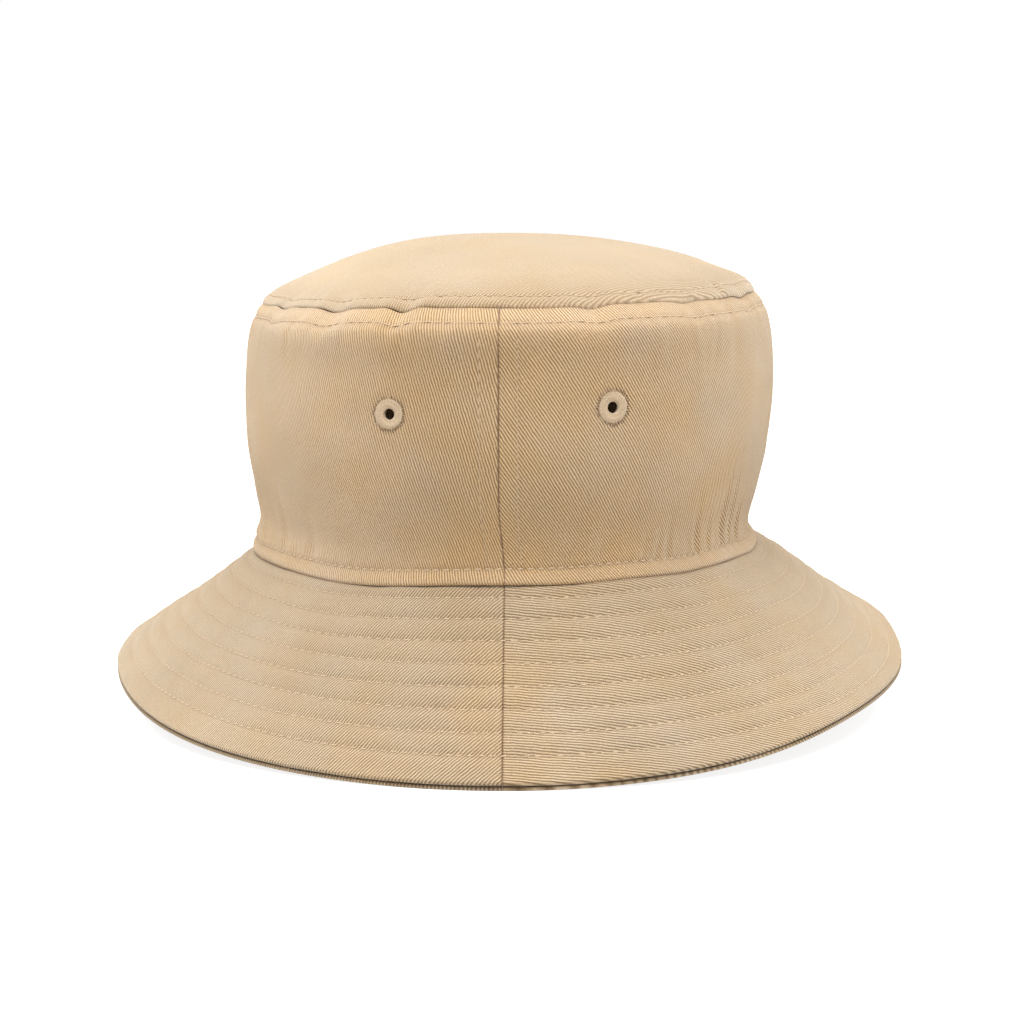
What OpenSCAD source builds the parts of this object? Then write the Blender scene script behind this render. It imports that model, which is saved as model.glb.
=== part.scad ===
// Bucket hat: an oval tip, a two-panel crown side and a two-panel stitched brim,
// with its interlining, sweatband, seam tapes, embroidered eyelets and rows of thread.
// The hat stands on its brim, with the front towards -Y and +Z up, in millimetres.

/* [Head opening] */
// Half width of the crown where it meets the brim
joint_half_w = 81; // [76:0.5:86]
// Half length of the crown where it meets the brim
joint_half_l = 102; // [96:0.5:108]

/* [Crown] */
// Height of the crown side panels
side_h = 78.5; // [70:0.5:90]
// How far the waist just above the brim is drawn in
waist_in = 2.2; // [0:0.1:4]
// How far the widest part of the crown stands out
bulge_out = 4.1; // [1:0.1:8]
// How far the top edge of the side panels is drawn in
top_in = 1.2; // [0:0.1:3]
// Rise of the domed tip over the top seam
tip_rise = 22; // [12:0.5:30]

/* [Brim] */
// Width of the brim at the front and the back, along its slope
brim_w_front = 60.5; // [50:0.5:70]
// Width of the brim at the sides, along its slope
brim_w_side = 58; // [50:0.5:70]
// Slope of the brim at the front and the back, in degrees
slope_front = 54.5; // [45:0.5:60]
// Slope of the brim at the sides, in degrees
slope_side = 37; // [30:0.5:45]
// Slope of the brim towards the rear corners, where it flares, in degrees
slope_rear = 30.5; // [25:0.5:45]

/* [Cloth] */
// Thickness of the twill
twill = 0.9; // [0.6:0.1:1.4]
// Thickness of the interlining
interlining = 0.5; // [0.3:0.1:1]
// Air left between layers that lie on each other
gap = 0.1; // [0.05:0.05:0.2]
// Thickness of the tapes inside the crown
tape = 0.5; // [0.3:0.1:0.8]
// Height of the sweatband
band_h = 30; // [24:1:36]

/* [Stitching] */
// Distance of the first brim row from the crown joint
first_row = 4; // [3:0.25:6]
// Distance between neighbouring brim rows
row_pitch = 6.8; // [5:0.1:7.2]
// Distance of the topstitching from a crown seam
topstitch = 4.4; // [3:0.1:6]
// Distance of each topstitch line from the front and back seams
seam_stitch = 5; // [3:0.25:6]
// Width of a line of thread
thread = 0.6; // [0.4:0.1:0.8]

/* [Eyelets] */
// Outer diameter of an embroidered eyelet
eyelet_d = 9; // [7:0.5:11]
// Diameter of the vent hole
vent_d = 2.8; // [2:0.2:4]
// Distance from the seam to an eyelet, round the crown
eyelet_arc = 32.8; // [24:0.1:40]
// Height of the eyelets over the brim joint
eyelet_h = 49.7; // [40:0.1:60]
// How much nearer the seam the front right eyelet is sewn than the others
eyelet_nearer = 2.8; // [0:0.1:4]
// How much higher the front right eyelet is sewn than the others
eyelet_higher = 1.8; // [0:0.1:3]

/* [Hidden] */
$fn = 48;
ROWS = 8;
STEP = 5;                        // angle between sections round the hat
CLEAR = 0.1;                     // angle left free at each end of a half panel
brim_t = 2 * twill + interlining + 2 * gap;
joint_z = brim_w_front * sin(slope_front) + brim_t * cos(slope_front);
seam_z = joint_z + side_h;
proud = 0.4;                     // how far a line of thread stands out
float_gap = 0.08;                // air between a thread and the cloth under it
tape_w = 13;                     // width of the tapes on the front and back seams
lining_edge = 2;                 // how far the interlining stops short of the brim's edges
dome_power = 2.3;                // higher is flatter in the middle of the tip
edge_power = 0.65;               // lower is rounder at the edge of the tip
joint_gap = 0.15;                // air between a crown side panel and the pieces above and below it

TWILL_TAN = [0.80, 0.70, 0.55];
BRIM_TAN = [0.83, 0.73, 0.58];
TIP_TAN = [0.90, 0.81, 0.68];
THREAD_TAN = [0.74, 0.63, 0.47];
EYELET_TAN = [0.87, 0.78, 0.66];
LINING_WHITE = [0.88, 0.87, 0.84];
BAND_TAN = [0.78, 0.68, 0.53];
TAPE_TAN = [0.82, 0.74, 0.60];

// ---- the oval plan, and points offset outwards from it; angle 0 is the front, 90 is +X ----

function oval(t) = [joint_half_w * sin(t), -joint_half_l * cos(t)];
function outward(t) = let (v = [sin(t) / joint_half_w, -cos(t) / joint_half_l]) v / norm(v);
function plan(t, off) = oval(t) + off * outward(t);
function arc_angle(arc) = asin(arc / (joint_half_w + bulge_out)) - 0.4;

// ---- crown side: a curve through [height, offset, slope] stations, from brim to top seam ----

STATIONS = [
    [0, 0, -0.8], [6, -waist_in, 0], [30, 0.6 * bulge_out, 0.2], [51, bulge_out, 0],
    [side_h, -top_in, -0.42]
];
function smooth(p, q, h) =
    let (d = q[0] - p[0], u = (h - p[0]) / d)
    (2 * u * u * u - 3 * u * u + 1) * p[1] + (u * u * u - 2 * u * u + u) * d * p[2]
    + (3 * u * u - 2 * u * u * u) * q[1] + (u * u * u - u * u) * d * q[2];
function station(h, i = 0) = h <= STATIONS[i + 1][0] || i == len(STATIONS) - 2 ? i : station(h, i + 1);
function side_off(h) = let (i = station(h)) smooth(STATIONS[i], STATIONS[i + 1], h);
side_pt = function (t, h, d) [each plan(t, side_off(h) + d), joint_z + h];

// ---- tip: a shallow dome over the top seam; r is 1 at the seam and 0 at the middle ----

function dome(r) = tip_rise * pow(max(0, 1 - pow(r, dome_power)), edge_power);
tip_pt = function (t, r, d) [each r * plan(t, -top_in + d), seam_z + gap + dome(r) + d];

// ---- brim: straight lines from the joint to the rim, whose slope changes round the hat ----

SLOPES = [
    slope_front, 0.77 * slope_front + 0.23 * slope_side, 0.37 * slope_front + 0.63 * slope_side,
    slope_side, slope_rear, 0.4 * slope_front + 0.6 * slope_rear, slope_front
];
function fold(t) = let (w = ((t % 360) + 360) % 360) w > 180 ? 360 - w : w;
function slope_station(i) = SLOPES[i < 0 ? -i : i > 6 ? 12 - i : i];
function slope(t) =
    let (
        i = min(5, floor(fold(t) / 30)), u = fold(t) / 30 - i,
        a = slope_station(i - 1), b = slope_station(i),
        c = slope_station(i + 1), d = slope_station(i + 2)
    )
    b + 0.5 * u * (c - a + u * (2 * a - 5 * b + 4 * c - d + u * (3 * (b - c) + d - a)));
function brim_w(t) = brim_w_side + (brim_w_front - brim_w_side) * cos(t) * cos(t);
brim_pt = function (t, s, d)
    let (p = slope(t)) [each plan(t, s * cos(p) + d * sin(p)), joint_z - s * sin(p) + d * cos(p)];
// The same surface measured from the rim: u is 0 at the rim and 1 at the crown joint
rim_pt = function (t, u, d) brim_pt(t, (1 - u) * brim_w(t), d);

// ---- a closed sheet between two offsets d of a surface f(t, u, d) ----

RING = [for (t = [0:STEP:355]) t];
function half(side) = let (c = side > 0 ? 0 : 180)
    [for (t = [0:STEP:180]) c + min(180 - CLEAR, max(CLEAR, t))];
function steps(a, b, n) = [for (i = [0:n]) a + (b - a) * i / n];

module sheet(f, ts, us, inner, outer, ring = false) {
    nt = len(ts);
    nu = len(us);
    function id(k, i, j) = k * nt * nu + (i % nt) * nu + j;
    function quad(a, b, c, d) = [[a, b, c], [a, c, d]];
    last = ring ? nt - 1 : nt - 2;
    points = [for (d = [inner, outer]) for (t = ts) for (u = us) f(t, u, d)];
    faces = [
        for (i = [0:last]) for (j = [0:nu - 2]) each concat(
            quad(id(1, i, j), id(1, i, j + 1), id(1, i + 1, j + 1), id(1, i + 1, j)),
            quad(id(0, i, j), id(0, i + 1, j), id(0, i + 1, j + 1), id(0, i, j + 1))),
        for (i = [0:last]) each concat(
            quad(id(0, i, 0), id(1, i, 0), id(1, i + 1, 0), id(0, i + 1, 0)),
            quad(id(1, i, nu - 1), id(0, i, nu - 1), id(0, i + 1, nu - 1), id(1, i + 1, nu - 1))),
        if (!ring) for (j = [0:nu - 2]) each concat(
            quad(id(0, 0, j), id(0, 0, j + 1), id(1, 0, j + 1), id(1, 0, j)),
            quad(id(0, nt - 1, j), id(1, nt - 1, j), id(1, nt - 1, j + 1), id(0, nt - 1, j + 1)))
    ];
    polyhedron(points, faces, convexity = 6);
}

// A sheet that closes over its middle, u falling from 1 at the edge towards 0
module cap(f, us, inner, outer) {
    nt = len(RING);
    nu = len(us);
    n = nt * nu;
    function id(k, i, j) = k * n + (i % nt) * nu + j;
    function quad(a, b, c, d) = [[a, b, c], [a, c, d]];
    points = [
        for (d = [inner, outer]) for (t = RING) for (u = us) f(t, u, d),
        f(0, 0, inner), f(0, 0, outer)
    ];
    faces = [
        for (i = [0:nt - 1]) for (j = [0:nu - 2]) each concat(
            quad(id(1, i, j), id(1, i, j + 1), id(1, i + 1, j + 1), id(1, i + 1, j)),
            quad(id(0, i, j), id(0, i + 1, j), id(0, i + 1, j + 1), id(0, i, j + 1))),
        for (i = [0:nt - 1]) each concat(
            quad(id(0, i, 0), id(1, i, 0), id(1, i + 1, 0), id(0, i + 1, 0)),
            [[id(1, i, nu - 1), 2 * n + 1, id(1, i + 1, nu - 1)],
             [id(0, i, nu - 1), id(0, i + 1, nu - 1), 2 * n]])
    ];
    polyhedron(points, faces, convexity = 6);
}

// ---- crown ----

module crown_tip()
    color(TIP_TAN) cap(tip_pt, [1, 0.98, 0.94, 0.87, 0.76, 0.6, 0.42, 0.22], -twill, 0);

// Where an eyelet sits: its centre line points out of the crown
module at_eyelet(side, end) {
    uneven = side > 0 && end > 0 ? 1 : 0;
    turn = side * arc_angle(eyelet_arc - uneven * eyelet_nearer);
    t = end > 0 ? turn : 180 - turn;
    dir = outward(t);
    translate(side_pt(t, eyelet_h + uneven * eyelet_higher, 0)) rotate([0, 0, atan2(dir[1], dir[0])]) rotate([0, 90, 0]) children();
}

module crown_side(side)
    color(TWILL_TAN) difference() {
        sheet(side_pt, half(side), [joint_gap, 3, 6, 12, 20, 30, 40, 51, 62, 71, side_h - joint_gap], -twill, 0);
        for (end = [-1, 1]) at_eyelet(side, end) cylinder(h = 6, d = vent_d + 2, center = true);
    }

// Front and back faces of satin stitch, joined by a barrel round the vent hole
module eyelet(side, end)
    color(EYELET_TAN) at_eyelet(side, end) rotate_extrude() polygon([
        [vent_d / 2, -twill - 0.5], [eyelet_d / 2 - 0.4, -twill - 0.45], [eyelet_d / 2 - 0.1, -twill - 0.3],
        [vent_d / 2 + 0.8, -twill - 0.3], [vent_d / 2 + 0.8, 0.3],
        [eyelet_d / 2, 0.25], [eyelet_d / 2 - 0.4, 0.55], [eyelet_d / 2 - 1.4, 0.7],
        [vent_d / 2 + 0.6, 0.65], [vent_d / 2, 0.3]
    ]);

// ---- brim ----

module brim_upper(side)
    color(BRIM_TAN) sheet(rim_pt, half(side), steps(0, 1, 4), -twill, 0);
module brim_interlining(side)
    color(LINING_WHITE) sheet(rim_pt, half(side),
        steps(lining_edge / brim_w_side, 1 - lining_edge / brim_w_side, 3),
        -twill - gap - interlining, -twill - gap);
module brim_under(side)
    color(BRIM_TAN) sheet(rim_pt, half(side), steps(0, 1, 4), -brim_t, -brim_t + twill);

// ---- inside of the crown ----

module sweatband()
    color(BAND_TAN) sheet(side_pt, RING, [1, 4, 8, 16, band_h], -2 * twill - gap, -twill - gap, ring = true);
module tip_seam_tape()
    color(TAPE_TAN) sheet(side_pt, RING, [side_h - 12, side_h - 8, side_h - 3],
        -twill - gap - tape, -twill - gap, ring = true);
module seam_tape(centre)
    color(TAPE_TAN) sheet(side_pt,
        steps(centre - arc_angle(tape_w / 2), centre + arc_angle(tape_w / 2), 2),
        [band_h + 1, 40, 51, side_h - 13], -twill - gap - tape, -twill - gap);

// ---- lines of thread ----

module side_thread(h, d = float_gap)
    color(THREAD_TAN) sheet(side_pt, RING, [h - thread / 2, h + thread / 2], d, d + proud, ring = true);
module tip_topstitch()
    color(THREAD_TAN) sheet(tip_pt, RING, [0.974, 0.966], float_gap, float_gap + proud, ring = true);
module seam_topstitch(centre)
    color(THREAD_TAN) for (s = [-1, 1]) {
        t = centre + s * arc_angle(seam_stitch + 0.5);
        sheet(side_pt, [t - 0.2, t + 0.2], [6, 12, 20, 30, 40, 51, 62, 71], float_gap, float_gap + proud);
    }
module brim_row(n) {
    s = first_row + (n - 1) * row_pitch;
    color(THREAD_TAN) sheet(brim_pt, RING, [s + thread / 2, s - thread / 2],
        float_gap, float_gap + proud, ring = true);
}

crown_tip();
crown_side(-1);  // crown_side_left
crown_side(1);  // crown_side_right
brim_upper(-1);  // brim_upper_left
brim_upper(1);  // brim_upper_right
brim_under(-1);  // brim_under_left
brim_under(1);  // brim_under_right
brim_interlining(-1);  // brim_interlining_left
brim_interlining(1);  // brim_interlining_right
sweatband();
tip_seam_tape();
seam_tape(0);  // front_seam_tape
seam_tape(180);  // back_seam_tape
eyelet(-1, 1);  // eyelet_front_left
eyelet(1, 1);  // eyelet_front_right
eyelet(-1, -1);  // eyelet_back_left
eyelet(1, -1);  // eyelet_back_right
tip_topstitch();
side_thread(side_h - topstitch);  // side_topstitch
side_thread(topstitch);  // base_topstitch
side_thread(band_h - 2.5, -2 * twill - gap - proud - float_gap);  // sweatband_stitch
seam_topstitch(0);  // front_seam_topstitch
seam_topstitch(180);  // back_seam_topstitch
for (n = [1:ROWS]) brim_row(n);
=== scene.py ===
"""A bucket hat in khaki cotton twill, standing on its brim.

The hat is made of its cut pieces: an oval tip, two crown side panels, and a quilted brim of two halves
with an interlining between them. Inside it are a sweatband and seam tapes. Four embroidered eyelets vent
the crown, and lines of thread hold everything together. Sizes are in metres, +Z is up and the front
faces -Y. A turn of 0 is the front seam, and turns grow towards +X.
"""

import logging
import math
from collections.abc import Callable, Sequence
from dataclasses import dataclass, field
from enum import Enum
from functools import cached_property

import bpy
import numpy as np
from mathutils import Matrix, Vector

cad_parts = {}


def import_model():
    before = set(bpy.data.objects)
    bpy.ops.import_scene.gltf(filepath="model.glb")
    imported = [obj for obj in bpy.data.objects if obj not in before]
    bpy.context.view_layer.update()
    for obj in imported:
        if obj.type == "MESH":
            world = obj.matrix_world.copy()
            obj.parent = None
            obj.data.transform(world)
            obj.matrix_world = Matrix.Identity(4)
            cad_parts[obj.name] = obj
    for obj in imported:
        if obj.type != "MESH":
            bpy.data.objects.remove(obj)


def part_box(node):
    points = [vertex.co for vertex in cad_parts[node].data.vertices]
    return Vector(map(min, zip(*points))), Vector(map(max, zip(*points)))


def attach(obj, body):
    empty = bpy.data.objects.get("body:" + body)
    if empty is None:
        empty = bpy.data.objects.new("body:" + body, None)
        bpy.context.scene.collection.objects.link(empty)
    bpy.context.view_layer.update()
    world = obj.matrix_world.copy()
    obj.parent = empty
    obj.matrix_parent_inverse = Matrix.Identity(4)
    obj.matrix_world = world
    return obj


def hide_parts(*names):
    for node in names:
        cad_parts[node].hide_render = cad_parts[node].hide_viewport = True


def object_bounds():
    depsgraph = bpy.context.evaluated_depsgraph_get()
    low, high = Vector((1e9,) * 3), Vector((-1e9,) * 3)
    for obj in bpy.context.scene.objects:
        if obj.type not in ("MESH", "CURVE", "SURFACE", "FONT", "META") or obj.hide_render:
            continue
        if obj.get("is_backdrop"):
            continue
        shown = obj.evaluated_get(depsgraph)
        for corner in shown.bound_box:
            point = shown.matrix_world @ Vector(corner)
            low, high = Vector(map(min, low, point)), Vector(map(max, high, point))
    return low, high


log = logging.getLogger("bucket_hat")

Array = np.ndarray
Colour = tuple[float, float, float]
Surface = Callable[[Array, Array, float], Array]

FULL_TURN = 2.0 * math.pi
NUDGE = 1e-4  # a step that is small against every fold, for directions on a surface
SMOOTH_ANGLE = math.radians(55.0)


class Side(Enum):
    """Which half of the hat a panel makes; the value is its sign along X."""

    LEFT = -1
    RIGHT = 1


class End(Enum):
    """Front or back of the hat; the value is the turn of its seam, in degrees."""

    FRONT = 0
    BACK = 180


class Face(Enum):
    """The side of the cloth that a line of thread lies on."""

    NEEDLE = 1
    BOBBIN = -1


class Weave(Enum):
    """How the yarns cross; the value is how deep the notches between the yarns of one rib are."""

    TWILL = 0.34
    PLAIN = 0.85


# ---- sizes and surfaces ----


def bell(x: Array, width: float) -> Array:
    """A smooth bump of height 1 at 0 that falls off over about width."""
    return np.exp(-np.square(x / width))


def ease(x: Array, low: float, high: float) -> Array:
    """A smooth step from 0 at low to 1 at high."""
    u = np.clip((x - low) / (high - low), 0.0, 1.0)
    return u * u * (3.0 - 2.0 * u)


def short_way(turn: Array) -> Array:
    """The same turn, between half a lap to the left and half a lap to the right of the front seam."""
    return (turn + math.pi) % FULL_TURN - math.pi


def spaced(start: float, stop: float, step: float, folds: Sequence[float] = (), fine: float = 0.00035) -> Array:
    """Places grid lines a step apart, and closer together near folds.

    Args:
        start: Where the first line lies.
        stop: Where the last line lies.
        step: Distance between lines away from any fold.
        folds: Places where the cloth turns sharply.
        fine: Distance between lines at a fold.

    Returns:
        The places of the lines, from start to stop.
    """
    samples, fold_reach = 6000, 0.0022
    x = np.linspace(start, stop, samples)
    size = np.full_like(x, step)
    for at in folds:
        size = np.minimum(size, fine + (step - fine) * np.clip(np.abs(x - at) / fold_reach, 0.0, 1.0))
    count = np.concatenate([[0.0], np.cumsum(np.diff(x) * 2.0 / (size[1:] + size[:-1]))])
    return np.interp(np.linspace(0.0, count[-1], math.ceil(count[-1]) + 1), count, x)


@dataclass
class Unevenness:
    """Smooth, repeatable variation between about -1 and 1, as soft cloth and sewing have."""

    seed: int
    pitch: float
    across: float
    lap: float
    spread: float = 1.6
    columns: int = 64
    knots: Array = field(init=False, repr=False)

    def __post_init__(self) -> None:
        """Draws the seeded values, fitting a whole number of them to the lap."""
        count = max(4, round(self.lap / self.pitch))
        self.pitch = self.lap / count
        draws = np.random.default_rng(self.seed)
        self.knots = draws.uniform(-self.spread, self.spread, (count, self.columns))

    def at(self, x: Array, y: Array | float = 0.0) -> Array:
        """The variation at each place.

        Args:
            x: Distance along the piece.
            y: Distance across it.

        Returns:
            One value for each place.
        """
        x, y = np.broadcast_arrays(np.asarray(x, float), np.asarray(y, float))
        i, j = np.floor(x / self.pitch).astype(int), np.floor(y / self.across).astype(int)
        total = np.zeros(x.shape)
        weights_x, weights_y = self._weights(x / self.pitch - i), self._weights(y / self.across - j)
        for a, wx in enumerate(weights_x):
            for b, wy in enumerate(weights_y):
                total += wx * wy * self.knots[(i + a - 1) % len(self.knots), (j + b - 1) % self.columns]
        return total

    @staticmethod
    def _weights(f: Array) -> tuple[Array, Array, Array, Array]:
        """Spline weights of the four values around a place that is f of the way past the second."""
        g = 1.0 - f
        return g**3 / 6, (4 - 6 * f**2 + 3 * f**3) / 6, (4 - 6 * g**2 + 3 * g**3) / 6, f**3 / 6


@dataclass(frozen=True)
class Pucker:
    """One wrinkle that runs away from a seam: where it starts, its size, and how it leans."""

    at: float
    width: float
    reach: float
    height: float
    lean: float = 0.0

    def lift(self, along: Array, away: Array) -> Array:
        """How far the wrinkle moves the cloth outwards.

        Args:
            along: Distance along the seam.
            away: Distance away from the seam.

        Returns:
            The move for each place.
        """
        off = (along - self.at - self.lean * away) / self.width
        return self.height * np.cos(1.4 * off) * np.exp(-0.5 * off**2) * np.exp(-((away / self.reach) ** 2))


def gather(
    seed: int, lap: tuple[float, float], count: int, width: float, reach: float, height: float
) -> list[Pucker]:  # fmt: skip
    """Scatters puckers along a seam.

    Args:
        seed: Fixes where they fall.
        lap: The stretch of the seam that they lie on.
        count: How many there are.
        width: Their usual width.
        reach: Their usual length.
        height: The most that one lifts or sinks the cloth.

    Returns:
        The puckers.
    """
    rng = np.random.default_rng(seed)
    spots = np.linspace(*lap, count) + rng.uniform(-0.5, 0.5, count) * (lap[1] - lap[0]) / count
    return [
        Pucker(
            float(at), width * float(rng.uniform(0.6, 1.5)), reach * float(rng.uniform(0.5, 1.5)),
            height * float(rng.uniform(-1.0, 0.7)), float(rng.uniform(-0.35, 0.35)),
        )
        for at in spots
    ]  # fmt: skip


@dataclass(frozen=True)
class Swell:
    """One place where a line, a width or a wall swells, or shrinks if its rise is negative."""

    place: float
    spread: float
    rise: float

    def at(self, x: Array, share: Array | float = 1.0) -> Array:
        """What it adds at each place, times a share."""
        return self.rise * share * bell(x - self.place, self.spread)


@dataclass(frozen=True)
class HatForm:
    """The hat's driving sizes, and the plain surfaces that follow from them."""

    joint_z: float
    half_width: float = 0.081
    half_length: float = 0.102
    side_height: float = 0.0785
    waist_in: float = 0.0022
    bulge_out: float = 0.0041
    top_in: float = 0.0012
    tip_rise: float = 0.022
    brim_front: float = 0.0605
    brim_side: float = 0.058
    brim_slopes: tuple[float, ...] = (54.8, 51.8, 43.8, 36.5, 27.5, 34.5, 54.5, 42.0, 33.0, 37.3, 45.8, 53.3)
    brim_thickness: float = 0.0025
    twill: float = 0.0009
    shoulder_sides: float = 0.0013
    shoulder_ends: float = 0.0011
    squeeze: float = 0.0024
    joint_swells: tuple[Swell, ...] = (
        Swell(-0.62, 0.26, -0.0011), Swell(-0.02, 0.30, 0.0012), Swell(0.48, 0.22, 0.0014),
        Swell(1.00, 0.30, 0.0020), Swell(1.90, 0.50, 0.0040),
    )  # fmt: skip
    seam_swells: tuple[Swell, ...] = (
        Swell(0.50, 0.30, 0.0018), Swell(1.30, 0.50, 0.0040), Swell(-0.1, 0.45, 0.0007),
    )  # fmt: skip
    width_swells: tuple[Swell, ...] = (Swell(-0.95, 0.4, 0.0015), Swell(1.02, 0.36, -0.0017))
    front_left_dip: Swell = Swell(0.028, 0.012, -0.0013)

    def oval(self, turn: Array) -> Array:
        """Plan of the crown joint at each turn."""
        return np.stack([self.half_width * np.sin(turn), -self.half_length * np.cos(turn)], -1)

    def outward(self, turn: Array) -> Array:
        """Level direction that points straight out of the oval at each turn."""
        v = np.stack([np.sin(turn) / self.half_width, -np.cos(turn) / self.half_length], -1)
        return v / np.linalg.norm(v, axis=-1, keepdims=True)

    def plan(self, turn: Array, off: Array | float) -> Array:
        """Plan of a line that runs off outside the oval at each turn."""
        return self.oval(turn) + np.asarray(off)[..., None] * self.outward(turn)

    @cached_property
    def _lap(self) -> tuple[Array, Array]:
        """Turns round the whole hat, and the distance along the oval to each of them."""
        steps = 7200
        turns = np.radians(np.linspace(-180.0, 180.0, steps + 1))
        arcs = np.concatenate([[0.0], np.cumsum(np.linalg.norm(np.diff(self.oval(turns), axis=0), axis=1))])
        return turns, arcs - 0.5 * arcs[-1]

    @property
    def lap(self) -> float:
        """Length of the crown joint, all the way round."""
        return float(2.0 * self._lap[1][-1])

    def turn_at(self, arc: Array) -> Array:
        """The turn at each distance along the oval from the front seam."""
        turns, arcs = self._lap
        whole = np.round(np.asarray(arc) / self.lap)
        return np.interp(arc - whole * self.lap, arcs, turns) + FULL_TURN * whole

    def arc_at(self, turn: Array) -> Array:
        """The distance along the oval from the front seam to each turn."""
        return np.interp(short_way(turn), *self._lap)

    def side_offset(self, height: Array) -> Array:
        """How far outside the oval the crown side stands at each height over the joint."""
        # Height, offset and slope of each station
        rows = np.array([
            (0.0, 0.0, -0.8), (0.006, -self.waist_in, 0.0), (0.030, 0.6 * self.bulge_out, 0.2),
            (0.051, self.bulge_out, 0.0), (self.side_height, -self.top_in, -0.42),
        ])  # fmt: skip
        i = np.clip(np.searchsorted(rows[:, 0], height, side="right") - 1, 0, len(rows) - 2)
        (h0, o0, m0), (h1, o1, m1) = rows[i].T, rows[i + 1].T
        h0, o0, m0, h1, o1, m1 = (v.T for v in (h0, o0, m0, h1, o1, m1))
        d, u = h1 - h0, (height - h0) / (h1 - h0)
        return (
            (2 * u**3 - 3 * u**2 + 1) * o0 + (u**3 - 2 * u**2 + u) * d * m0
            + (3 * u**2 - 2 * u**3) * o1 + (u**3 - u**2) * d * m1
        )  # fmt: skip

    def dome(self, r: Array) -> Array:
        """Height of the tip over the top seam; r is 1 at the seam and 0 in the middle."""
        return self.tip_rise * np.power(np.clip(1.0 - np.power(r, 2.3), 0.0, 1.0), 0.65)

    def brim_slope(self, turn: Array) -> Array:
        """Slope of the brim in radians, smoothly through its stations every 30 degrees."""
        w = np.degrees(turn) % 360.0 / 30.0
        i = np.floor(w).astype(int)
        u = w - i
        a, b, c, d = (np.array(self.brim_slopes)[(i + k) % 12] for k in (-1, 0, 1, 2))
        return np.radians(b + 0.5 * u * (c - a + u * (2 * a - 5 * b + 4 * c - d + u * (3 * (b - c) + d - a))))

    def shoulder(self, turn: Array) -> Array:
        """How far the top seam is drawn in round the shoulder, most at the front and the back."""
        return self.shoulder_sides + self.shoulder_ends * np.cos(turn) ** 2

    def joint_sway(self, turn: Array) -> Array:
        """How far the joint stands over its even height: it sags front left and rides up on the right."""
        return sum(swell.at(short_way(turn)) for swell in self.joint_swells)

    def seam_rise(self, turn: Array) -> Array:
        """How far the top seam rides up round the right side, where the crown stands fuller."""
        return sum(swell.at(short_way(turn)) for swell in self.seam_swells)

    def draw_in(self, turn: Array) -> Array:
        """How far the joint is drawn in where the hat is squeezed at its right side."""
        return self.squeeze * np.maximum(np.sin(turn), 0.0) ** 3

    def brim_width(self, turn: Array) -> Array:
        """Width of the brim along its slope, a little more front left and less front right."""
        width = self.brim_side + (self.brim_front - self.brim_side) * np.cos(turn) ** 2
        return sum((swell.at(short_way(turn)) for swell in self.width_swells), width)

    def brim_point(self, turn: Array, out: Array, depth: Array | float) -> Array:
        """Points of the brim.

        Args:
            turn: Turn round the hat.
            out: Distance from the crown joint along the slope.
            depth: Distance above the upper face, below it if negative.

        Returns:
            The points.
        """
        p = self.brim_slope(turn)
        at_joint = 1.0 - ease(out, 0.0, 0.014)
        depth = depth + self.front_left_dip.at(out, bell(turn + 2.0, 0.5))
        xy = self.plan(turn, out * np.cos(p) + depth * np.sin(p) - self.draw_in(turn) * at_joint)
        z = self.joint_z - out * np.sin(p) + depth * np.cos(p)
        z = z + self.joint_sway(turn) * (1.0 - ease(out, 0.0, 0.045))
        return np.concatenate([xy, z[..., None]], -1)


# ---- finishes ----


class Bench:
    """Lays out the nodes of one finish and wires them together."""

    def __init__(self, name: str) -> None:
        """Starts an empty material called name."""
        self.material = bpy.data.materials.new(name)
        self.material.use_nodes = True
        self.tree = self.material.node_tree
        self.tree.nodes.clear()

    def add(self, kind: str, inputs: dict | None = None, **settings: object) -> bpy.types.Node:
        """Adds a node.

        Args:
            kind: The node's type, without its ShaderNode prefix.
            inputs: Values or sockets for its inputs, by name or number.
            settings: Values of its other settings.

        Returns:
            The node.
        """
        node = self.tree.nodes.new(f"ShaderNode{kind}")
        for key, value in settings.items():
            setattr(node, key, value)
        for key, value in (inputs or {}).items():
            if isinstance(value, bpy.types.NodeSocket):
                self.tree.links.new(value, node.inputs[key])
            else:
                node.inputs[key].default_value = value
        return node

    def math(self, operation: str, a: object, b: object = 0.0, c: object = 0.0) -> bpy.types.NodeSocket:
        """The result of one Math node on up to three numbers or sockets."""
        return self.add("Math", {0: a, 1: b, 2: c}, operation=operation).outputs[0]

    def mix(self, part: object, a: object, b: object) -> bpy.types.NodeSocket:
        """A colour that goes from a to b as part goes from 0 to 1."""
        a, b = ((*v, 1.0) if isinstance(v, tuple) and len(v) == 3 else v for v in (a, b))
        return self.add("Mix", {0: part, 6: a, 7: b}, data_type="RGBA").outputs[2]

    def noise(self, place: bpy.types.NodeSocket, scale: float, detail: float = 2.0) -> bpy.types.NodeSocket:
        """Cloudy variation from 0 to 1, with about scale clouds to a metre."""
        return self.add("TexNoise", {"Vector": place, "Scale": scale, "Detail": detail}).outputs[0]

    def finish(
        self, colour: object, roughness: object, bump: object, depth: float, **shader: object
    ) -> bpy.types.Material:  # fmt: skip
        """Closes the material with one surface shader.

        Args:
            colour: Its colour.
            roughness: Its roughness.
            bump: Height of the fine relief, from 0 to 1.
            depth: How deep that relief is, in metres.
            shader: Constants of the shader's other inputs, with underscores for spaces.

        Returns:
            The material.
        """
        relief = self.add("Bump", {"Strength": 1.0, "Distance": depth, "Height": bump})
        inputs = {"Base Color": colour, "Roughness": roughness, "Normal": relief.outputs[0]}
        inputs |= {key.replace("_", " "): value for key, value in shader.items()}
        surface = self.add("BsdfPrincipled", inputs)
        self.add("OutputMaterial", {"Surface": surface.outputs[0]})
        return self.material


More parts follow.
